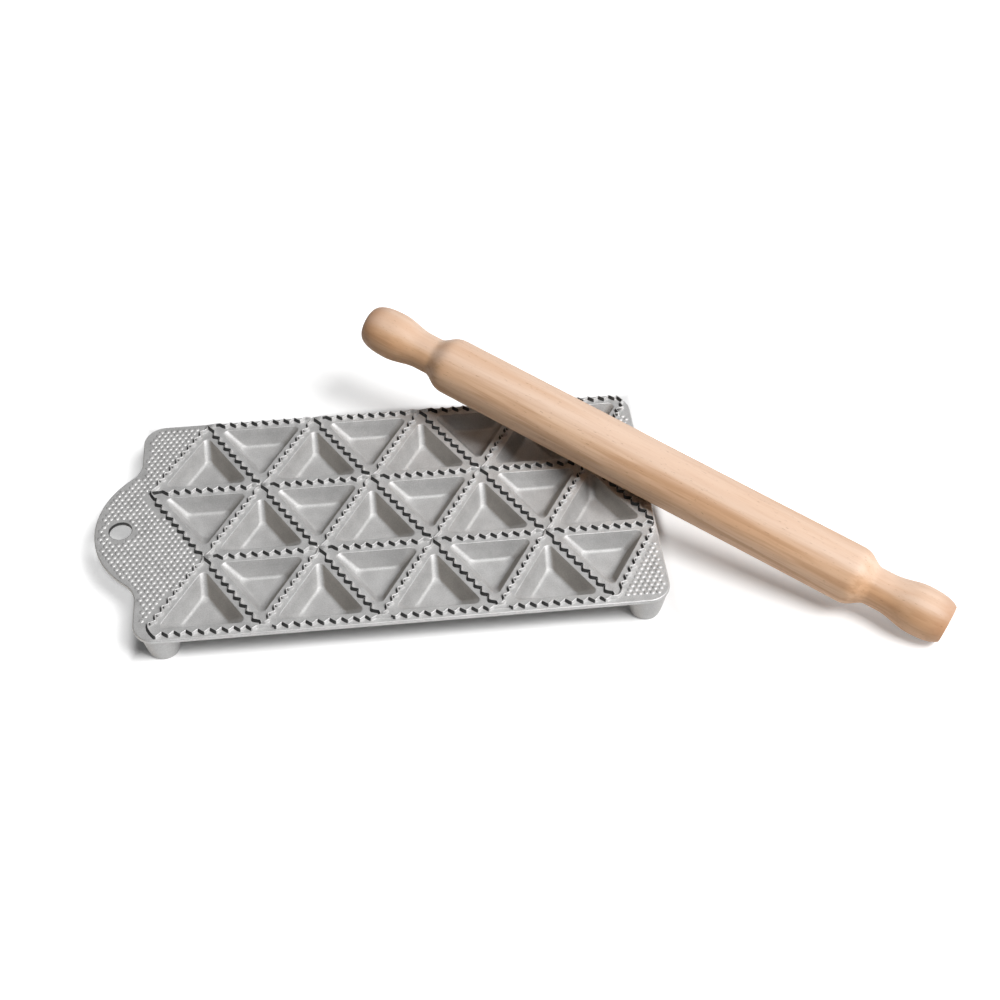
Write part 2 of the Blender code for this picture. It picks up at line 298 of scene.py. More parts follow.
def plateOutline(insets):
    # four corner arcs, and the grip: a wide arc that hollow fillets lead back into the left edge
    insets, radius, steps = np.atleast_1d(insets), casting["cornerRadius"], casting["outlineSteps"]
    left, right = plateLeft + radius, plateRight - radius
    front, back = plateFront + radius, plateBack - radius
    fillet = casting["gripFillet"]
    reach = casting["gripCentre"] - plateLeft + fillet
    rise = math.sqrt((casting["gripRadius"] + fillet) ** 2 - reach ** 2)
    turn = math.degrees(math.atan2(rise, reach))
    grip = casting["gripRadius"] - insets
    return closedLoop([
        arcOf((left, front), radius - insets, 180, 270, steps),
        arcOf((right, front), radius - insets, 270, 360, steps),
        arcOf((right, back), radius - insets, 0, 90, steps),
        arcOf((left, back), radius - insets, 90, 180, steps),
        arcOf((plateLeft - fillet, plateMiddle + rise), fillet + insets, 0, -turn, steps),
        arcOf((casting["gripCentre"], plateMiddle), grip, 180 - turn, 180 + turn, 4 * steps),
        arcOf((plateLeft - fillet, plateMiddle - rise), fillet + insets, turn, 0, steps)])


def latticeTriangles():
    # corners of the pockets' triangles, point up and point down in turn, counter-clockwise
    row, place = np.meshgrid(np.arange(casting["rows"]), np.arange(casting["pocketsPerRow"]), indexing="ij")
    row, place = row.ravel(), place.ravel()
    base, height = casting["pocketBase"], casting["rowHeight"]
    left, low, high = place * base / 2, row * height, (row + 1) * height
    up = np.stack([left, low, left + base, low, left + base / 2, high], -1)
    down = np.stack([left, high, left + base / 2, low, left + base, high], -1)
    chosen = np.where(((place + row) % 2 == 0)[:, None], up, down)
    return chosen.reshape(-1, 3, 2)


def roundedTriangle(corners, insets, radii):
    # the triangle drawn in by each inset, with corners rounded by each radius
    sides = np.roll(corners, -1, 0) - corners
    lengths = np.linalg.norm(sides, axis=1)
    centre = (corners * np.roll(lengths, -1)[:, None]).sum(0) / lengths.sum()
    innerRadius = abs(sides[0, 0] * sides[1, 1] - sides[0, 1] * sides[1, 0]) / lengths.sum()
    insets, radii = np.broadcast_arrays(insets, radii)
    arcs = []
    for index in range(3):
        before, after = sides[index - 1], sides[index]
        start = math.degrees(math.atan2(-before[0], before[1]))
        turn = math.degrees(math.atan2(before[0] * after[1] - before[1] * after[0], before @ after))
        middles = centre + (corners[index] - centre) * (1 - (insets + radii) / innerRadius)[:, None]
        arcs.append(arcOf((0, 0), radii, start, start + turn, casting["cornerSteps"]) + middles[:, None])
    return closedLoop(arcs)


def pocketProfile():
    # inset and height of a pocket's wall: rounded edge, straight wall, hollow fillet, floor
    depth, run = casting["pocketDepth"], casting["wallRun"]
    length = math.hypot(run, depth)
    down = np.array([run, -depth]) / length
    edge, fillet = casting["pocketEdge"], casting["floorFillet"]
    lean = math.acos(run / length)                                   # turn from the flat to the wall
    rise, foot = edge * math.tan(lean / 2), fillet * math.tan(lean / 2)
    turns = np.linspace(0, lean, 6)
    upper = np.stack([-rise + edge * np.sin(turns), -edge * (1 - np.cos(turns))], -1)
    toeStart = down * (length - foot)
    lower = np.array([run + foot, -depth + fillet]) + fillet * np.stack(
        [-np.sin(turns[::-1]), -np.cos(turns[::-1])], -1)
    line = np.concatenate([[[-rise - guard, 0]], upper, [down * (rise + guard)],
                           [toeStart - down * guard], lower, [[run + foot + guard, -depth]]])
    shift = np.clip(-line[:, 1] / depth, 0, 1)
    return casting["ribHalfWidth"] + line[:, 0], plateTop + line[:, 1], shift


def cupProfile():
    # the same for the cup below: from the plate's underside down its outer wall to its bottom
    slope = casting["wallRun"] / casting["pocketDepth"]
    step = casting["cupWall"] * math.sqrt(1 + slope ** 2)
    bottom = plateTop - casting["pocketDepth"] - casting["cupWall"]
    insetAt = lambda height: casting["ribHalfWidth"] + slope * (plateTop - height) - step
    edge = casting["cupEdge"]
    lean = math.atan2(plateUnder - bottom, insetAt(bottom) - insetAt(plateUnder))
    reach = edge * math.tan(lean / 2)
    turns = np.linspace(0, lean, 5)
    down = np.array([math.cos(lean), -math.sin(lean)])
    hollow = np.stack([-reach + edge * np.sin(turns), -edge * (1 - np.cos(turns))], -1)
    hollow += [insetAt(plateUnder), plateUnder]
    end = np.array([insetAt(bottom), bottom])
    swell = end + [reach, edge] + edge * np.stack([-np.sin(turns[::-1]), -np.cos(turns[::-1])], -1)
    return np.concatenate([[hollow[0] - [guard, 0]], hollow, [hollow[-1] + down * guard],
                           [swell[0] - down * guard], swell, [swell[-1] + [guard, 0]]])


def makeCasting(material):
    shell = Surface()
    # rim: rounded upper edge, upright side, rounded lower edge
    inset, drop = quarterRound(casting["topEdge"])
    lowInset, lowRise = quarterRound(casting["lowerEdge"])
    insets = np.concatenate([[inset[0] + guard], inset, [0, 0], lowInset[::-1], [lowInset[0] + guard]])
    heights = np.concatenate([[plateTop], plateTop - drop, [plateTop - drop[-1] - guard],
                              [plateUnder + lowRise[-1] + guard], plateUnder + lowRise[::-1], [plateUnder]])
    rim = plateOutline(insets)
    shell.grid(raised(rim, heights) + home)
    # hanging hole, from above to below
    inset, drop = quarterRound(casting["holeEdge"])
    radii = casting["holeDiameter"] / 2 + np.concatenate(
        [[inset[0] + guard], inset, [0, 0], inset[::-1], [inset[0] + guard]])
    heights = np.concatenate([[plateTop], plateTop - drop, [plateTop - drop[-1] - guard],
                              [plateUnder + drop[-1] + guard], plateUnder + drop[::-1], [plateUnder]])
    hole = arcOf((casting["holeCentre"], plateMiddle), radii, 0, 360, casting["holeSides"])[:, :-1]
    shell.grid(raised(hole, heights) + home)
    # pockets and the cups below them
    insets, heights, shift = pocketProfile()
    radii = casting["cornerAtTop"] + (casting["cornerAtFloor"] - casting["cornerAtTop"]) * shift
    cup = cupProfile()
    openings, undersides = [], []
    for corners in latticeTriangles():
        wall = roundedTriangle(corners, insets, radii)
        shell.grid(raised(wall, heights) + home)
        shell.cap(raised(wall[-1:], heights[-1:])[0] + home)
        openings.append(wall[0])
        outside = roundedTriangle(corners, cup[:, 0], np.full(len(cup), casting["cornerAtTop"]))
        shell.grid(raised(outside, cup[:, 1]) + home)
        shell.cap(raised(outside[-1:], cup[-1:, 1])[0] + home)
        undersides.append(outside[0])

    def solidPlan(outer, holes):
        # inside the outer loop and in none of the holes
        def test(points):
            kept = insideLoop(outer, points)
            for loop in holes:
                kept &= ~insideLoop(loop, points)
            return kept
        return test

    top, under = [rim[0], hole[0], *openings], [rim[-1], hole[-1], *undersides]
    upper, lower = Surface(), Surface()
    upper.sheet(top, plateTop, solidPlan(top[0], top[1:]))
    lower.sheet(under, plateUnder, solidPlan(under[0], under[1:]))
    for part in (upper, lower):
        shell.add(np.concatenate(part.points) + home, np.array(part.faces))
    return shell.piece("tray_casting", material, "tray")


def pocketInset(points):
    # how deep each point lies inside the pocket triangle that holds it; below zero outside them all
    corners = latticeTriangles()
    sides = np.roll(corners, -1, 1) - corners
    inward = np.stack([-sides[..., 1], sides[..., 0]], -1)
    inward /= np.linalg.norm(inward, axis=-1, keepdims=True)
    depth = ((points[..., None, None, :] - corners) * inward).sum(-1).min(-1)
    return depth.max(-1)


def makeFeet(material):
    # each foot is turned: a flat end with a round edge and a tapering side that runs up into the rim;
    # where it meets a cup it stops inside the cup's wall
    edge, radius, top = casting["footEdge"], casting["footRadius"], casting["footTop"]
    turns = np.linspace(0, math.pi / 2, 6)
    shares = np.linspace(0.04, 1, casting["footRows"])
    sides = radius + (top - radius) * shares ** casting["footCurve"]
    line = np.concatenate([
        np.stack([radius - edge + edge * np.sin(turns), edge - edge * np.cos(turns)], -1),
        np.stack([sides, edge + (plateUnder - edge) * shares], -1),
        np.array(casting["footInPlate"]) + [top, plateUnder]])
    angles = np.linspace(0, 2 * math.pi, casting["footSides"], endpoint=False)
    ring = np.stack([np.cos(angles), np.sin(angles)], -1)
    floorHeight = plateTop - casting["pocketDepth"] - casting["cupWall"] / 2
    slope = casting["wallRun"] / casting["pocketDepth"]
    wallInset = casting["ribHalfWidth"] + slope * (plateTop - line[:, 1]) - casting["footInCupWall"]
    feet = Surface()
    steps = np.linspace(0.02, 1, casting["footTries"])      # shares of the radius that are tried
    for x in (plateLeft + casting["footInLeft"], plateRight - casting["footInRight"]):
        for y in (plateFront + casting["cornerRadius"], plateBack - casting["cornerRadius"]):
            tries = line[:, None, None, :1] * steps[:, None] * ring[:, None, :] + [x, y]
            free = (pocketInset(tries) < wallInset[:, None, None]) | (line[:, 1] < floorHeight)[:, None, None]
            reach = steps[np.maximum(np.cumprod(free, -1).sum(-1) - 1, 0)]
            rows = raised((line[:, :1] * reach)[..., None] * ring + [x, y], line[:, 1]) + home
            feet.grid(rows)
            feet.cap(rows[0])
            feet.cap(rows[-1])
    return feet.piece("tray_feet", material, "tray")


# The cutting ridges: fins that run from side to side along every rib

ridge = {
    "baseWidth": 0.0013, "topWidth": 0.0006, "sway": 0.00122, "halfPitch": 0.00275, "sunk": 0.0003,
    "endClear": 0.0025, "cornerCut": 0.1, "edgeGap": 0.0011, "leeFlare": 0.7, "nodeClear": 0.0052,
    "fallingHalf": 0.0016, "fallingClear": 0.0019,
    # cross-section from its skirt to its crown: shares of the foot's, then of the top's half width, and of the height
    "skirt": 0.0001, "waist": (0.78, 0.35), "shoulder": (1, 0.86), "crown": (0.55, 1), "waistFlare": 0.8,
    # distance from a rib's first node to its first turn
    "firstAcross": 0.0064, "firstFalling": 0.0057, "firstRising": 0.0066, "firstRisingFront": 0.0045,
    "firstFront": 0.00665, "firstOuter": 0.0062, "meetFront": 0.0013,
    # bends at the outer corners, from the node at each, in millimetres
    "bendFrontLeft": [(2.6, 5.9), (2.9, 3.6), (4.2, 1.1), (6.0, -1.25)],
    "bendFrontNode": [(-2.3, 0.4), (4.3, 0.4)],
    "bendFrontRight": [(-2.3, 0.4), (1.0, 0.4), (2.7, 1.6)],
    "bendMiddleRight": [(-2.2, -3.2), (-1.3, -0.7), (-1.3, 0.5), (-1.3, 3.2)],
    "bendMiddleLeft": [(0.5, 1.2), (1.2, -1.4), (2.6, -3.8)],
    "bendBackRight": [(-6.0, 0.3), (-3.2, -3.5), (-4.9, -5.4), (-3.6, -8.5), (-7.9, -9.4), (-6.6, -12.7)],
}


def latticeNode(place, row):
    return np.array([place * casting["pocketBase"], row * casting["rowHeight"]])


def rib(start, end, first, side, count=None):
    # turns of one rib: on from side to side every half pitch, from the first turn to near the far node
    start, end = latticeNode(*start), latticeNode(*end)
    length = np.linalg.norm(end - start)
    along = (end - start) / length
    across = np.array([-along[1], along[0]])
    turns = np.arange(int((length - first - ridge["endClear"]) / ridge["halfPitch"]) + 1)[:count]
    sway = side * ridge["sway"] * (1 - 2 * (turns % 2))
    return start + along * (first + ridge["halfPitch"] * turns)[:, None] + across * sway[:, None]


def bend(name, place, row):
    return latticeNode(place, row) + np.array(ridge[name]) / 1000


def ridgePaths():
    # inner ribs run from node to node; along the outside the fin goes round the corners in one piece
    falling = lambda a, b: rib(a, b, ridge["firstFalling"], 1)
    rising = lambda a, b: rib(a, b, ridge["firstRisingFront" if a[1] == 0 else "firstRising"], -1)
    across = lambda a, b, count=None: rib(a, b, ridge["firstAcross"], 1, count)
    node = lambda place, row: latticeNode(place, row)[None]
    front = lambda place: latticeNode(place, 0)[None] + [0, ridge["meetFront"]]
    paths = []
    for row in (1, 2, 3):
        for place in range(4):
            a = place + 0.5 * (row % 2)
            if (row, place) != (3, 3):
                paths.append([node(a, row), across((a, row), (a + 1, row)), node(a + 1, row)])
    for row in range(3):
        for place in range(5):
            a = place + 0.5 * (row % 2)
            up = front(a) if row == 0 else node(a, row)
            inner = row == 1 and a < 4.5 or row == 0 and 0 < a < 4 or row == 2 and 0 < a < 4
            if inner:
                paths.append([up, rising((a, row), (a + 0.5, row + 1)), node(a + 0.5, row + 1)])
            if a > 0 and (a, row) not in ((0.5, 1), (4.5, 1)):
                paths.append([node(a - 0.5, row + 1), falling((a - 0.5, row + 1), (a, row)), up])
    # front left, the whole front, front right, right middle
    loop = [node(0.5, 1), rising((0, 0), (0.5, 1))[:0:-1], bend("bendFrontLeft", 0, 0)]
    for place in range(4):
        loop.append(rib((place, 0), (place + 1, 0), ridge["firstFront"], -1))
        loop.append(bend("bendFrontNode" if place < 3 else "bendFrontRight", place + 1, 0))
    loop += [rib((4, 0), (4.5, 1), ridge["firstOuter"], -1, 16), bend("bendMiddleRight", 4.5, 1),
             falling((4, 2), (4.5, 1))[::-1], node(4, 2)]
    paths.append(loop)
    paths.append([node(0.5, 3), rib((0, 2), (0.5, 3), ridge["firstOuter"], -1)[::-1],
                  bend("bendMiddleLeft", 0, 2), falling((0, 2), (0.5, 1)), node(0.5, 1)])
    paths.append([node(3.5, 3), across((3.5, 3), (4.5, 3), 16), bend("bendBackRight", 4.5, 3),
                  rising((4, 2), (4.5, 3))[11::-1], node(4, 2)])
    low = np.array([plateLeft, plateFront]) + ridge["edgeGap"]
    high = np.array([plateRight, plateBack]) - ridge["edgeGap"]
    return [np.clip(np.vstack(path), low, high) for path in paths]


def softened(path, cut):
    # corner cutting: each turn is replaced by two points, at a share of its legs, twice over
    for share in (cut, 0.25):
        ahead = path[:-1] * (1 - share) + path[1:] * share
        behind = path[:-1] * share + path[1:] * (1 - share)
        path = np.vstack([path[:1], np.stack([ahead, behind], 1).reshape(-1, path.shape[1])[1:-1], path[-1:]])
    return path


def makeRidges(material, plain):
    # one cross-section, wide at its foot and round on top, carried along every path; the foot is wider still
    # on the side that faces the front left, so the painted shade on that flank is wider. Near the nodes the fins
    # keep the plate's material, without that painted shade.
    foot, top, height = ridge["baseWidth"] / 2, ridge["topWidth"] / 2, casting["ridgeHeight"]
    half = np.array([[foot + ridge["skirt"], -ridge["sunk"]], [foot, 0],
                     np.array([foot, height]) * ridge["waist"], np.array([top, height]) * ridge["shoulder"],
                     np.array([top, height]) * ridge["crown"]])
    section = np.concatenate([half * [-1, 1], half[::-1]])
    flare = np.array([1, 1, ridge["waistFlare"], 0, 0]) * ridge["leeFlare"]
    flare = np.concatenate([flare, -flare[::-1]])
    lee = np.array([-0.7071, -0.7071])      # towards the front left
    fins = Surface()
    for path in ridgePaths():
        path = softened(path, ridge["cornerCut"])
        legs = np.diff(path, axis=0)
        legs /= np.linalg.norm(legs, axis=1, keepdims=True)
        normals = np.stack([-legs[:, 1], legs[:, 0]], -1)
        joints = np.vstack([normals[:1], normals[:-1] + normals[1:], normals[-1:]])
        joints /= np.linalg.norm(joints, axis=1, keepdims=True)
        stretch = 1 / (joints * np.vstack([normals[:1], normals])).sum(-1, keepdims=True)
        widen = 1 + np.clip(-(joints @ lee)[:, None] * np.sign(flare), 0, 1) * np.abs(flare)
        plan = path[:, None] + (joints * stretch)[:, None] * (section[:, 0] * widen)[..., None]
        rows = np.concatenate([plan, np.broadcast_to(section[:, 1:], plan.shape[:2] + (1,))], -1)
        rows = rows + home + [0, 0, plateTop]
        fins.grid(rows)
        fins.cap(rows[0])
        fins.cap(rows[-1])
    made = fins.piece("cutting_ridges", material, "tray")
    made.data.materials.append(plain)
    nodes = latticeTriangles().reshape(-1, 2)
    nodes = nodes[(nodes[:, 0] > ridge["baseWidth"]) & (nodes[:, 0] < plateRight - ridge["baseWidth"])]
    centres = np.array([face.center[:2] for face in made.data.polygons]) - home[:2]
    away = centres[:, None] - nodes
    fall = np.array([casting["rowHeight"], casting["pocketBase"] / 2]) / math.hypot(
        casting["rowHeight"], casting["pocketBase"] / 2)
    clear = np.where(np.abs(away @ fall) < ridge["fallingHalf"], ridge["fallingClear"], ridge["nodeClear"])
    near = (np.linalg.norm(away, axis=-1) < clear).any(1)
    made.data.polygons.foreach_set("material_index", near.astype(int))
    return made


# The studs: small round bumps in staggered rows on both ends of the plate

stud = {"pitch": 0.0030, "rowPitch": 0.00254, "radius": 0.00128, "height": 0.0005,
        "start": (0.0025, 0.0042), "edgeClear": 0.0027, "ridgeClear": 0.0030, "holeClear": 0.0022,
        "sunk": 0.0002, "skirt": 1.08, "rise": (0, 28, 56), "sides": 10}


def studPlaces():
    # staggered rows over more than the whole plate, less what lies near its edge, the hole or the lattice
    rows, columns = np.arange(-4, 60), np.arange(-12, 90)
    row, column = np.meshgrid(rows, columns, indexing="ij")
    x = stud["start"][0] + stud["pitch"] * (column + 0.5 * (row % 2))
    y = stud["start"][1] + stud["rowPitch"] * row
    points = np.stack([x, y], -1).reshape(-1, 2)
    outline = plateOutline(0)[0]
    edges = np.stack([outline, np.roll(outline, -1, 0)], 1)
    triangles = latticeTriangles()
    ribs = np.stack([triangles, np.roll(triangles, -1, 1)], 2).reshape(-1, 2, 2)
    kept = insideLoop(outline, points) & (distanceTo(edges, points) > stud["edgeClear"])
    kept &= distanceTo(ribs, points) > stud["ridgeClear"]
    hole = np.linalg.norm(points - [casting["holeCentre"], plateMiddle], axis=1)
    kept &= hole > casting["holeDiameter"] / 2 + stud["holeClear"]
    for corners in triangles:
        kept &= ~insideLoop(corners, points)
    return points[kept]


def makeStuds(material):
    # a dome: radius * cos a out from its middle and height * sin a up
    rise = np.radians(stud["rise"])
    angles = np.linspace(0, 2 * math.pi, stud["sides"], endpoint=False)
    ring = np.stack([np.cos(angles), np.sin(angles)], -1)
    out = np.concatenate([[stud["skirt"]], np.cos(rise)]) * stud["radius"]
    up = np.concatenate([[-stud["sunk"]], np.sin(rise) * stud["height"]])
    dome = np.concatenate([raised(out[:, None, None] * ring[None], up).reshape(-1, 3), [[0, 0, stud["height"]]]])
    places = np.concatenate([studPlaces(), np.full((len(studPlaces()), 1), plateTop)], 1) + home
    count, size = len(ring), len(dome)
    column = np.arange(count)
    quads = np.concatenate([np.stack([r * count + column, r * count + (column + 1) % count,
                                      (r + 1) * count + (column + 1) % count, (r + 1) * count + column], -1)
                            for r in range(3)])
    tips = np.stack([3 * count + column, 3 * count + (column + 1) % count, np.full(count, size - 1)], -1)
    bumps = Surface()
    points = (places[:, None] + dome[None]).reshape(-1, 3)
    shifts = np.arange(len(places))[:, None, None] * size
    for faces in (quads, tips, column[None, ::-1]):
        bumps.faces += (faces[None] + shifts).reshape(-1, faces.shape[1]).tolist()
    bumps.points, bumps.count = [points], len(points)
    return bumps.piece("grip_studs", material, "tray")


# The rolling pin: one turned piece of beech

pin = {"length": 0.3247, "barrelRadius": 0.01451, "handleLength": 0.0535, "shoulderLength": 0.0141,
       "neckRadius": 0.0096, "neckFromEnd": 0.033, "knobRadius": 0.01228, "knobFromEnd": 0.0154,
       "endRadius": 0.00716, "noseFullness": 2.6, "shoulderFullness": 0.8, "squareCut": 0.001,
       # distances from the end at which the turned rings stand, close together at the nose
       "noseRings": (0.00002, 0.0045, 12), "handleRings": (0.0055, 40), "barrelRings": (0.0004, 8),
       # small edge of the square cut: how far before it, and how much smaller
       "cutBefore": (0.00025, 0.0001, 0), "cutSmaller": (0.00004, 0.00022), "endFaceIn": 0.0004, "sides": 96}


def handleRadius(distance):
    # radius at a distance from the pin's end: round nose, swell, waist, shoulder
    ease = lambda share: (1 - np.cos(math.pi * share)) / 2
    knob, neck = pin["knobFromEnd"], pin["neckFromEnd"]
    shoulder = pin["handleLength"] - pin["shoulderLength"]
    nose = np.clip(1 - distance / knob, 0, 1)
    nosed = pin["endRadius"] + (pin["knobRadius"] - pin["endRadius"]) * np.sqrt(1 - nose ** pin["noseFullness"])
    waist = np.clip((distance - knob) / (neck - knob), 0, 1)
    waisted = pin["knobRadius"] + (pin["neckRadius"] - pin["knobRadius"]) * ease(waist)
    share = np.clip((distance - shoulder) / pin["shoulderLength"], 0, 1)
    swell = (pin["barrelRadius"] - pin["neckRadius"]) * np.sin(math.pi / 2 * ease(share) ** pin["shoulderFullness"])
    return np.where(distance < knob, nosed, waisted) + swell


def pinAxis():
    # middle and direction of the pin: the mean of its node's points, and their longest spread
    points = np.array([vertex.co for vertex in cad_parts["rolling_pin"].data.vertices])
    points = np.unique(np.round(points, 6), axis=0)
    middle = points.mean(0)
    along = np.linalg.svd(points - middle, full_matrices=False)[2][0]
    return middle, along * np.sign(along[0])


def makePin(material, middle, along):
    # radius is a function of the length, turned round the axis
    half, handle = pin["length"] / 2, pin["handleLength"]
    handleFrom, handleRings = pin["handleRings"]
    barrelGap, barrelRings = pin["barrelRings"]
    shape = np.concatenate([np.geomspace(*pin["noseRings"]), np.linspace(handleFrom, handle, handleRings),
                            np.linspace(handle + barrelGap, half, barrelRings)])
    squared = shape[shape > pin["squareCut"]]       # the right end is cut square, with a small edge
    edge = pin["squareCut"] + np.array(pin["cutBefore"])
    distance = np.concatenate([shape, squared[-2::-1], edge])
    place = np.concatenate([shape - half, (half - squared)[-2::-1], half - edge])
    radius = handleRadius(distance)
    radius[-2:] -= pin["cutSmaller"]
    radius = np.concatenate([[radius[0] - pin["endFaceIn"]], radius, [radius[-1] - pin["endFaceIn"]]])
    place = np.concatenate([[-half], place, place[-1:]])
    side = np.cross(along, [0, 0, 1])
    side /= np.linalg.norm(side)
    over = np.cross(side, along)
    angles = np.linspace(0, 2 * math.pi, pin["sides"], endpoint=False)
    ring = np.cos(angles)[:, None] * side + np.sin(angles)[:, None] * over
    rows = middle + place[:, None, None] * along + radius[:, None, None] * ring[None]
    blank = Surface()
    blank.grid(rows)
    blank.cap(rows[0])
    blank.cap(rows[-1])
    made = blank.piece("beech_pin", material, "pin")
    made.data.set_sharp_from_angle(angle=math.radians(50))
    return made


# Finishes

metal = {
    # lee is the near black of painted shade; the three tints on the next line are painted shade too
    "dark": (0.56, 0.555, 0.55, 1), "light": (0.74, 0.735, 0.73, 1), "lee": (0.04, 0.04, 0.04, 1),
    "deepShadeColour": (0.88, 0.88, 0.88, 1), "wallShadeColour": (0.78, 0.78, 0.78, 1), "leftShadeColour": (0.96, 0.91, 0.85, 1),
    "metallic": 0.6, "rough": 0.58, "roughPatches": 0.12, "roughDeep": 0.08,
    "grainScale": 1900, "patchScale": 160, "grainTone": 1.3, "patchTone": 0.7, "toneRange": (0.15, 0.85),
    "bumpGrain": 0.7, "bumpPatches": 1.6, "bumpDepth": 0.00007, "bumpStrength": 0.55,
    # ranges of a share: of how squarely the surface faces a way, or of a depth below the plate's top
    "leeWay": (-0.7, -0.7, 0.1), "leeRange": (0.4, 0.6), "upRange": (0.6, 0.95), "steepRange": (0.1, 0.4),
    "litWay": (0.6, 0.8, 0), "litRange": (0.3, 0.8), "litShare": 0.8, "leftRange": (0.15, 0.6),
    "deepFrom": 0.0002, "deepTo": 0.003, "holeShadeFrom": 0.0013, "holeShadeTo": 0.0017, "holeShadeShare": 0.9,
    "holeRim": (0.0002, 0.0006),
}


def castAluminium(name, wallPaintedShade=0.0, leePaintedShade=0.0):
    # the walls get painted shade that makes them darker than the flats, and the ridges get painted shade on their
    # flanks to the front left
    s = Shader(bpy.data.materials.new(name))
    at = s.place()
    height = s.split(at)[2]
    grain = s.noise(at, metal["grainScale"], 3, 0.6)
    patches = s.noise(at, metal["patchScale"], 3, 0.55)
    deep = 1 - height.between(plateTop - metal["deepTo"], plateTop - metal["deepFrom"])
    tone = (patches - 0.5) * metal["patchTone"] + (grain - 0.5) * metal["grainTone"] + 0.5
    base = s.blend(tone.between(*metal["toneRange"]), metal["dark"], metal["light"])
    if leePaintedShade:
        # painted shade: flanks that face the front left turn near black
        lee = s.facing(metal["leeWay"]).between(*metal["leeRange"])
        base = s.blend(lee * leePaintedShade, base, metal["lee"])
    if wallPaintedShade:
        # painted shade: sloping walls take its full share and upright ones half; those turned to the back right keep
        # their tone
        up = s.facing((0, 0, 1))
        wall = (1 - up.between(*metal["upRange"])) * (up.between(*metal["steepRange"]) * 0.5 + 0.5) * wallPaintedShade
        wall = wall * (1 - s.facing(metal["litWay"]).between(*metal["litRange"]) * metal["litShare"])
        # painted shade: darker inside the pockets below the plate's top, and darker again on the walls
        base = s.tint(wall, s.tint(deep, base, metal["deepShadeColour"]), metal["wallShadeColour"])
        # painted shade, warm: walls that face the left are darker and browner
        base = s.tint(wall * s.facing((-1, 0, 0)).between(*metal["leftRange"]), base, metal["leftShadeColour"])
        # painted shade: the upper part of the hanging hole's wall is dark
        holeMiddle = home + [casting["holeCentre"], plateMiddle, plateTop - casting["thickness"] / 2]
        rim = casting["holeDiameter"] / 2 + np.array(metal["holeRim"])
        inHole = 1 - s.distance(at, holeMiddle).between(*rim.tolist())
        upper = height.between(plateTop - metal["holeShadeTo"], plateTop - metal["holeShadeFrom"])
        base = s.blend(inHole * upper * metal["holeShadeShare"], base, metal["lee"])
    rough = metal["rough"] + (patches - 0.5) * metal["roughPatches"] + deep * metal["roughDeep"]
    s.set(Base_Color=base, Metallic=metal["metallic"], Roughness=rough)
    s.bump(grain * metal["bumpGrain"] + patches * metal["bumpPatches"], metal["bumpDepth"], metal["bumpStrength"])
    return s.owner


beech = {
    "light": (232, 203, 181), "mid": (219, 182, 153), "endGrainAndShade": (176, 130, 98),
    "fibre": (196, 150, 112), "streak": (184, 136, 98), "fleck": (150, 104, 72),
    # noise drawn out along the pin: stretch, scale, detail, roughness, distortion
    "fibres": (0.05, 900, 4, 0.6, 0), "bands": (0.06, 110, 2, 0.5, 0.4),
    "flecks": (0.16, 2100, 1, 0.5, 0), "streaks": (0.05, 300, 3, 0.6, 0.3),
    # how strongly each shows, and how much more on the underside, where the extra darkening is painted shade
    "bandRange": (0.3, 0.75), "fibreRange": (0.45, 0.8), "fibreShare": 0.25, "fibreUnder": 0.25,
    "streakRange": (0.42, 0.62), "streakShare": 0.06, "streakUnder": 0.4,
    "fleckRange": (0.68, 0.78), "fleckShare": 0.5,
    # painted shade on the underside: the way it faces, its range and its tints
    "underWay": (-0.45, -0.7, -0.55), "underRange": (-0.2, 0.4), "underShadeColour": (1.0, 0.92, 0.8, 1),
    "handleShadeColour": (0.9, 0.84, 0.76, 1), "handleFrom": 0.06, "handleTo": 0.035,
    "endFrom": 0.012, "endTo": 0.001, "endShare": 0.6,
    "rough": 0.55, "roughFibres": 0.15, "specular": 0.35, "bumpDepth": 0.00005, "bumpStrength": 0.4,
}


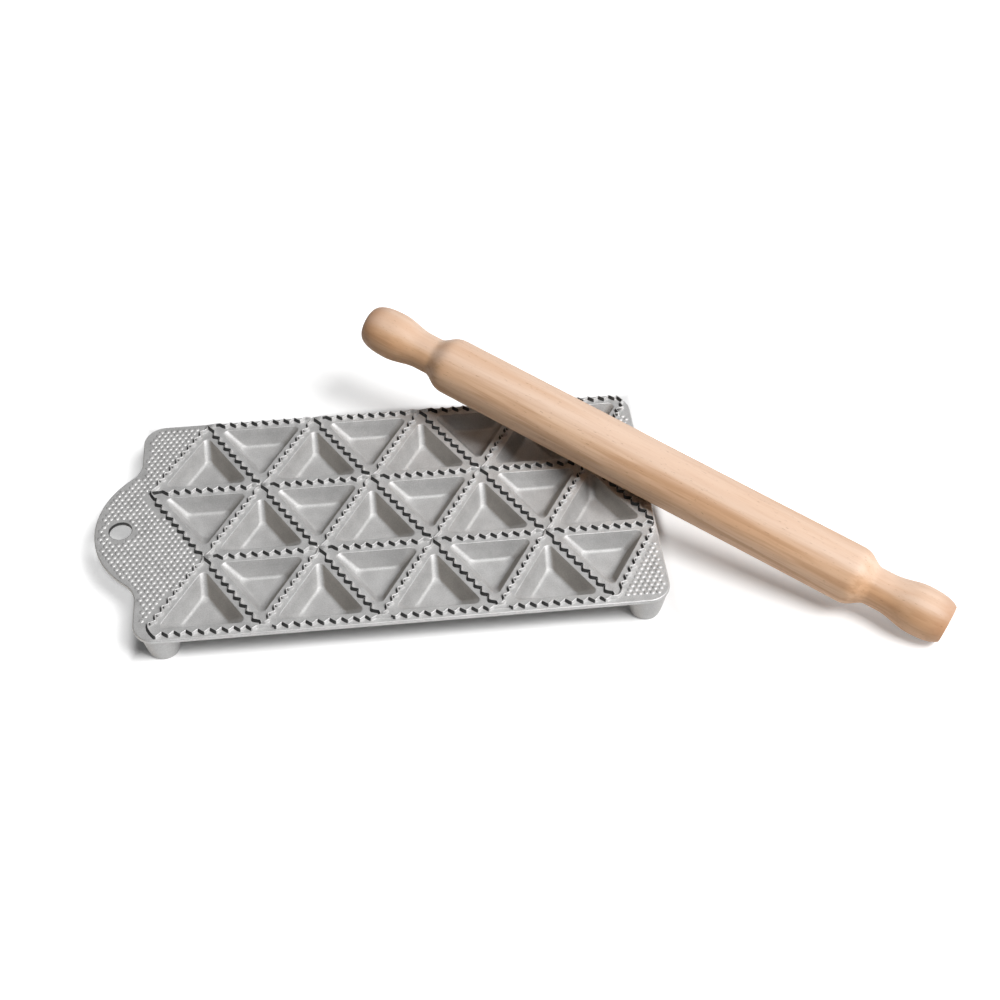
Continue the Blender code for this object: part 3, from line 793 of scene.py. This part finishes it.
def turnedBeech(middle, along):
    s = Shader(bpy.data.materials.new("turned_beech"))
    turn = Vector(along).to_track_quat("X", "Z").to_euler()
    at = s.place(tuple(middle), tuple(turn))

    def drawnOut(name):
        stretch, *settings = beech[name]
        return s.noise(s.node("ShaderNodeMapping", {}, {"Vector": at, "Scale": (stretch, 1, 1)}), *settings)

    fibres, bands, flecks, streaks = [drawnOut(name) for name in ("fibres", "bands", "flecks", "streaks")]
    base = s.blend(bands.between(*beech["bandRange"]), colour(*beech["light"]), colour(*beech["mid"]))
    # painted shade: the underside is darker and warmer, most of all below the handles
    half = pin["length"] / 2
    fromMiddle = s.node("ShaderNodeMath", {"operation": "ABSOLUTE"}, {0: s.split(at)[0]})
    under = s.facing(beech["underWay"]).between(*beech["underRange"])
    base = s.tint(under, base, beech["underShadeColour"])
    handle = fromMiddle.between(half - beech["handleFrom"], half - beech["handleTo"])
    base = s.tint(under * handle, base, beech["handleShadeColour"])
    # darker brown towards both ends: end grain on the end faces, and painted shade over the last 12 mm of the knobs
    end = fromMiddle.between(half - beech["endFrom"], half - beech["endTo"])
    base = s.blend(end * beech["endShare"], base, colour(*beech["endGrainAndShade"]))
    # the grain shows more on the underside: real grain, with painted shade added
    fibreShare = under * beech["fibreUnder"] + beech["fibreShare"]
    base = s.blend(fibres.between(*beech["fibreRange"]) * fibreShare, base, colour(*beech["fibre"]))
    streakShare = under * beech["streakUnder"] + beech["streakShare"]
    base = s.blend(streaks.between(*beech["streakRange"]) * streakShare, base, colour(*beech["streak"]))
    base = s.blend(flecks.between(*beech["fleckRange"]) * beech["fleckShare"], base, colour(*beech["fleck"]))
    rough = beech["rough"] + (fibres - 0.5) * beech["roughFibres"]
    s.set(Base_Color=base, Roughness=rough, Specular_IOR_Level=beech["specular"])
    s.bump(fibres, beech["bumpDepth"], beech["bumpStrength"])
    return s.owner


# The stage: floor, lamps, world and camera

stage = {"lens": 57.3178, "sensor": 36, "cameraAt": (0.116360, -0.467034, 0.597389),
         "cameraTurn": (42.93165, -0.01212, -6.00471)}

lamps = {
    # name: place, point it looks at, width, height, watts
    "key_softbox": ((1.36, -0.99, 2.49), (0, 0, 0), 1.4, 1.4, 113),
}

# the room is dim in front and to the left, and lighter towards the back right
room = {"dim": 0.01, "light": 0.12, "towards": (0.74, 0.32, 0.59)}

# the floor, and the glow on it that the eye sees but that lights nothing: strengths by region, and the ranges
# over which one region leads into the next, in metres from the lattice's front left corner
ground = {
    "size": 14.0, "colour": (0.8, 0.8, 0.8, 1), "rough": 0.9, "specular": 0.1,
    "left": 0.5, "underPin": 0.11, "right": 0.28, "inHole": 0.8,
    "leftEdge": (-0.004, 0.003), "rightEdge": (-0.001, 0.006), "frontEdge": (0.0015, 0.0155),
    "gripEdge": (-0.005, 0.002), "holeEdge": (0.006, 0.0075),
    "underPinX": (0.19, 0.26), "underPinY": (0.085, 0.105), "rightX": (0.28, 0.36),
    # the lighter strip between the pin and its shadow: its slant, its fall and its ends
    "strip": 0.72, "stripWay": (0.56, 0.83), "stripRange": (0.164, 0.186), "stripEdge": (-0.001, 0.004),
    "stripX": (0.29, 0.35), "stripLoss": 0.8, "stripY": (0.09, 0.12),
    # further out the floor is white
    "middle": (0.2, 0.05, 0), "far": 0.5, "farRange": (0.16, 0.4), "horizon": 0.5, "horizonRange": (0.5, 1.5),
}


def makeFloor():
    half = ground["size"] / 2
    mesh = bpy.data.meshes.new("floor")
    mesh.from_pydata([(-half, -half, 0), (half, -half, 0), (half, half, 0), (-half, half, 0)], [], [(0, 1, 2, 3)])
    floor = bpy.data.objects.new("floor", mesh)
    bpy.context.scene.collection.objects.link(floor)
    s = Shader(bpy.data.materials.new("pale_floor"))
    rays = [s.node("ShaderNodeLightPath", output=ray) for ray in
            ("Is Camera Ray", "Is Glossy Ray", "Is Transmission Ray")]
    # no glow behind the tray's outline, full a little beyond it; the floor is drawn in towards the camera's foot,
    # as it is seen past the plate's underside
    height = stage["cameraAt"][2]
    spread = height / (height - plateUnder)
    foot = np.array([*stage["cameraAt"][:2], 0])
    at = s.place(tuple(home + foot * (1 - spread)), scale=(1 / spread, 1 / spread, 1))
    x, y, _ = s.split(at)
    within = lambda value, name: value.between(*ground[name])
    pastRight = x - plateRight
    beyond = within(plateLeft - x, "leftEdge").most(within(pastRight.most(y - plateBack), "rightEdge"))
    beyond = beyond.most(within(plateFront - y, "frontEdge"))
    fromGrip = s.distance(at, (casting["gripCentre"], plateMiddle, 0)) - casting["gripRadius"]
    beyond = beyond.least(within(fromGrip, "gripEdge"))
    inHole = 1 - within(s.distance(at, (casting["holeCentre"], plateMiddle, 0)), "holeEdge")
    underPin = within(x, "underPinX") * (1 - within(y, "underPinY"))
    glow = (1 - underPin) * ground["left"] + underPin * ground["underPin"]
    glow = glow + within(x, "rightX") * (ground["right"] - ground["underPin"])
    along, across = ground["stripWay"]
    strip = within(x * along + y * across, "stripRange") * within(pastRight, "stripEdge")
    strip = strip * (1 - within(x, "stripX") * ground["stripLoss"]) * (1 - within(y, "stripY"))
    glow = (glow + strip * ground["strip"]) * beyond.most(inHole * ground["inHole"])
    away = s.distance(at, ground["middle"])
    glow = glow + within(away, "farRange") * ground["far"] + within(away, "horizonRange") * ground["horizon"]
    seen = rays[0] + rays[1] + rays[2]
    s.set(Base_Color=ground["colour"], Roughness=ground["rough"], Specular_IOR_Level=ground["specular"],
          Emission_Color=s.blend(seen * glow, (0, 0, 0, 1), (1, 1, 1, 1)), Emission_Strength=1.0)
    mesh.materials.append(s.owner)


def makeLamps():
    for name, (place, target, width, height, watts) in lamps.items():
        lamp = bpy.data.lights.new(name, "AREA")
        lamp.shape, lamp.size, lamp.size_y, lamp.energy = "RECTANGLE", width, height, watts
        made = bpy.data.objects.new(name, lamp)
        made.location = place
        made.rotation_mode = "QUATERNION"
        made.rotation_quaternion = (Vector(target) - Vector(place)).to_track_quat("-Z", "Y")
        bpy.context.scene.collection.objects.link(made)


def makeWorld():
    world = bpy.data.worlds.new("studio")
    bpy.context.scene.world = world
    s = Shader(world)
    way = s.node("ShaderNodeTexCoord", output="Generated")
    lean = s.node("ShaderNodeVectorMath", {"operation": "DOT_PRODUCT"}, {0: way, 1: room["towards"]}, output="Value")
    light = s.node("ShaderNodeMath", {"operation": "MAXIMUM"}, {0: lean, 1: 0.0}) * room["light"] + room["dim"]
    # the camera sees white
    s.set(Strength=light.most(s.node("ShaderNodeLightPath", output="Is Camera Ray")), Color=(1, 1, 1, 1))


def makeCamera():
    data = bpy.data.cameras.new("camera")
    data.lens, data.sensor_width = stage["lens"], stage["sensor"]
    camera = bpy.data.objects.new("camera", data)
    camera.location = home + stage["cameraAt"]      # measured from the lattice's front left corner
    camera.rotation_euler = [math.radians(angle) for angle in stage["cameraTurn"]]
    bpy.context.scene.collection.objects.link(camera)
    bpy.context.scene.camera = camera


makeCamera()
aluminium, plainAluminium = castAluminium("cast_aluminium", wallPaintedShade=1.0), castAluminium("plain_aluminium")
ridgeAluminium = castAluminium("ridge_aluminium", leePaintedShade=0.95)
trayPiece = makeCasting(aluminium)
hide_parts("ravioli_tray")
for part in (trayPiece, makeFeet(aluminium), makeRidges(ridgeAluminium, plainAluminium), makeStuds(plainAluminium)):
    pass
pinPlace = pinAxis()
pinPiece = makePin(turnedBeech(*pinPlace), *pinPlace)
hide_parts("rolling_pin")
makeFloor()
makeLamps()
makeWorld()
bpy.context.scene.view_settings.view_transform = "Standard"
